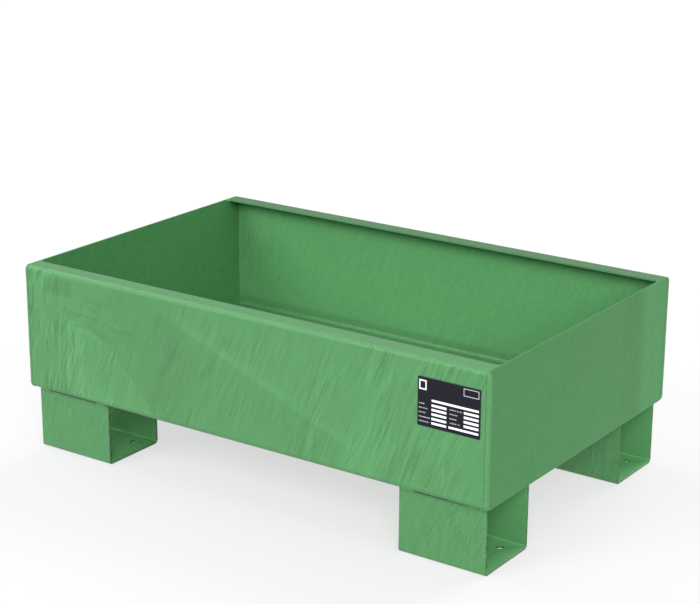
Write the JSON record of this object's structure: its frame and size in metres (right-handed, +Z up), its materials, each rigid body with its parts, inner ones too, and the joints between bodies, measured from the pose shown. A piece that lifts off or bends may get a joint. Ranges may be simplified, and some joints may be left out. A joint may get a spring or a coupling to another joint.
{
  "type": "steel sump tray",
  "caption": "Open welded sheet steel sump tray with inward rim flanges on its long sides, raised on folded U channel feet with caster bolt holes.",
  "frame": {"origin": "middle of the footprint, on the plane of the four soles", "axes": "+X along the tray's long side towards the end with the rating plate, +Y towards the wall opposite the rating plate, +Z up"},
  "size_m": [0.8026, 0.5116, 0.29],
  "materials": {
    "tray_paint": "hand finished semi-gloss green enamel with a streaky texture",
    "foot_paint": "semi-gloss green enamel",
    "weld_paint": "green enamel over rippled weld bead",
    "rating_plate": "thin plate printed dark with blank light fields"
  },
  "bodies": {
    "root": {"trough_sheet": "tray_paint", "left_end_plate": "tray_paint", "right_end_plate": "tray_paint", "foot_front_left": "foot_paint", "foot_front_right": "foot_paint", "foot_rear_left": "foot_paint", "foot_rear_right": "foot_paint", "corner_weld_front_left": "weld_paint", "corner_weld_front_right": "weld_paint", "corner_weld_rear_left": "weld_paint", "corner_weld_rear_right": "weld_paint", "bottom_weld_left": "weld_paint", "bottom_weld_right": "weld_paint", "foot_weld_front_left_outer": "weld_paint", "foot_weld_front_left_inner": "weld_paint", "foot_weld_front_right_outer": "weld_paint", "foot_weld_front_right_inner": "weld_paint", "foot_weld_rear_left_outer": "weld_paint", "foot_weld_rear_left_inner": "weld_paint", "foot_weld_rear_right_outer": "weld_paint", "foot_weld_rear_right_inner": "weld_paint", "rim_tack_front_left": "weld_paint", "rim_tack_front_right": "weld_paint", "rim_tack_rear_left": "weld_paint", "rim_tack_rear_right": "weld_paint", "rating_plate": "rating_plate"}
  },
  "joints": []
}
